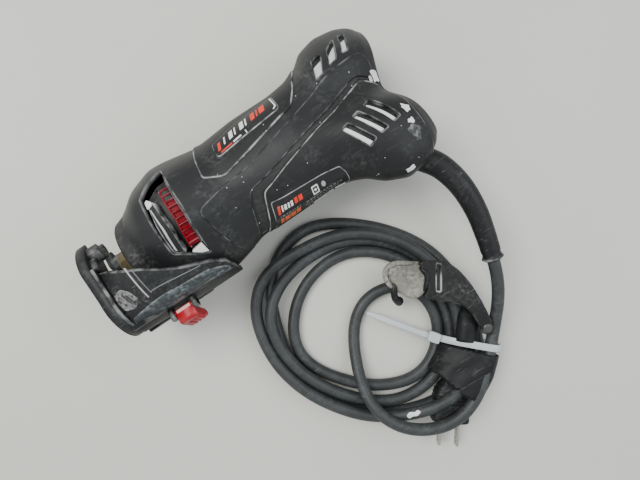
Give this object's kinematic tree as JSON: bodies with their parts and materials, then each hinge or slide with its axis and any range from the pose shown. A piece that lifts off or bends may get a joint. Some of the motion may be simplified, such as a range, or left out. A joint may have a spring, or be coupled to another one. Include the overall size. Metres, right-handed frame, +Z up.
{
  "type": "corded spiral cut-out saw",
  "caption": "Corded hand-held rotary cut-out saw lying on its side, with slotted nose housing, collet, sliding depth guide and a coiled, tied mains lead.",
  "frame": {"origin": "centre of the tool's own box, without its lead, on the surface it lies on", "axes": "+Z up from the surface the tool lies on, +X along the spindle from the foot to the rear, +Y away from the coiled lead"},
  "size_m": [0.2305, 0.2885, 0.0866],
  "materials": {
    "housing": "satin moulded, scuffed",
    "collar": "satin moulded",
    "vent_red": "glossy red",
    "plates": "printed film",
    "inner_plastic": "moulded",
    "lamination": "stacked sheet steel",
    "winding": "lacquered copper wire",
    "steel": "turned steel",
    "nut": "worn and dusty",
    "brush_brass": "pressed brass",
    "carbon": "pressed carbon",
    "bush_rubber": "moulded",
    "capacitor": "moulded",
    "slider_red": "moulded",
    "guide": "satin moulded, scuffed",
    "lever_red": "moulded red",
    "lead": "dusty rubber jacket",
    "guard": "moulded rubber",
    "wrap": "glossy sleeve",
    "tie": "translucent nylon",
    "holder": "dusty moulded rubber",
    "blades": "plated brass"
  },
  "bodies": {
    "root": {"housing_upper": "housing", "housing_lower": "housing", "nose_collar": "collar", "guide_rail": "collar", "vent_ring": "vent_red", "badge_plate": "plates", "rating_plate": "plates", "motor_plate": "inner_plastic", "switch_body": "inner_plastic", "cord_clamp": "inner_plastic", "field_stack": "lamination", "field_coils": "winding", "front_bearing": "steel", "rear_bearing": "steel", "brush_springs": "steel", "clamp_screws": "steel", "housing_screws": "steel", "brush_holders": "brush_brass", "carbon_brushes": "carbon", "bearing_bush": "bush_rubber", "capacitor": "capacitor", "cord_tube": "lead", "cord_coil": "lead", "cord_guard": "guard", "plug_body": "guard", "cord_wrap": "wrap", "cable_tie": "tie", "wrench_holder": "holder", "plug_blades": "blades"},
    "rotor": {"spindle": "steel", "armature_stack": "lamination", "armature_winding": "winding", "commutator": "winding", "cooling_fan": "inner_plastic", "collet": "steel"},
    "nut": {"collet_nut": "nut"},
    "lock_button": {"spindle_lock": "inner_plastic"},
    "switch": {"switch_slider": "slider_red"},
    "depth_guide": {"guide_bracket": "guide", "foot_plate": "guide", "foot_screws": "steel", "lever_pin": "steel"},
    "lever": {"lock_lever": "lever_red"}
  },
  "joints": [
    {"name": "rotor_spin", "type": "hinge", "parent": "root", "child": "rotor", "pos_m": [0, -0.001, 0.04015], "axis": [1, 0, 0], "continuous": true},
    {"name": "nut_turn", "type": "hinge", "parent": "rotor", "child": "nut", "pos_m": [-0.094, -0.001, 0.04015], "axis": [1, 0, 0], "range_deg": [-30, 330]},
    {"name": "lock_press", "type": "slide", "parent": "root", "child": "lock_button", "axis": [0, 0.2588, 0.9659], "range_m": [0, 0.004], "stiffness_N_per_m": 400, "springref_m": -0.001},
    {"name": "switch_slide", "type": "slide", "parent": "root", "child": "switch", "axis": [-1, 0, 0], "range_m": [0, 0.006]},
    {"name": "depth_slide", "type": "slide", "parent": "root", "child": "depth_guide", "axis": [1, 0, 0], "range_m": [-0.018, 0.002]},
    {"name": "lever_swing", "type": "hinge", "parent": "depth_guide", "child": "lever", "pos_m": [0, -0.04587, 0.06046], "axis": [-1, 0, 0], "range_deg": [0, 75]}
  ]
}
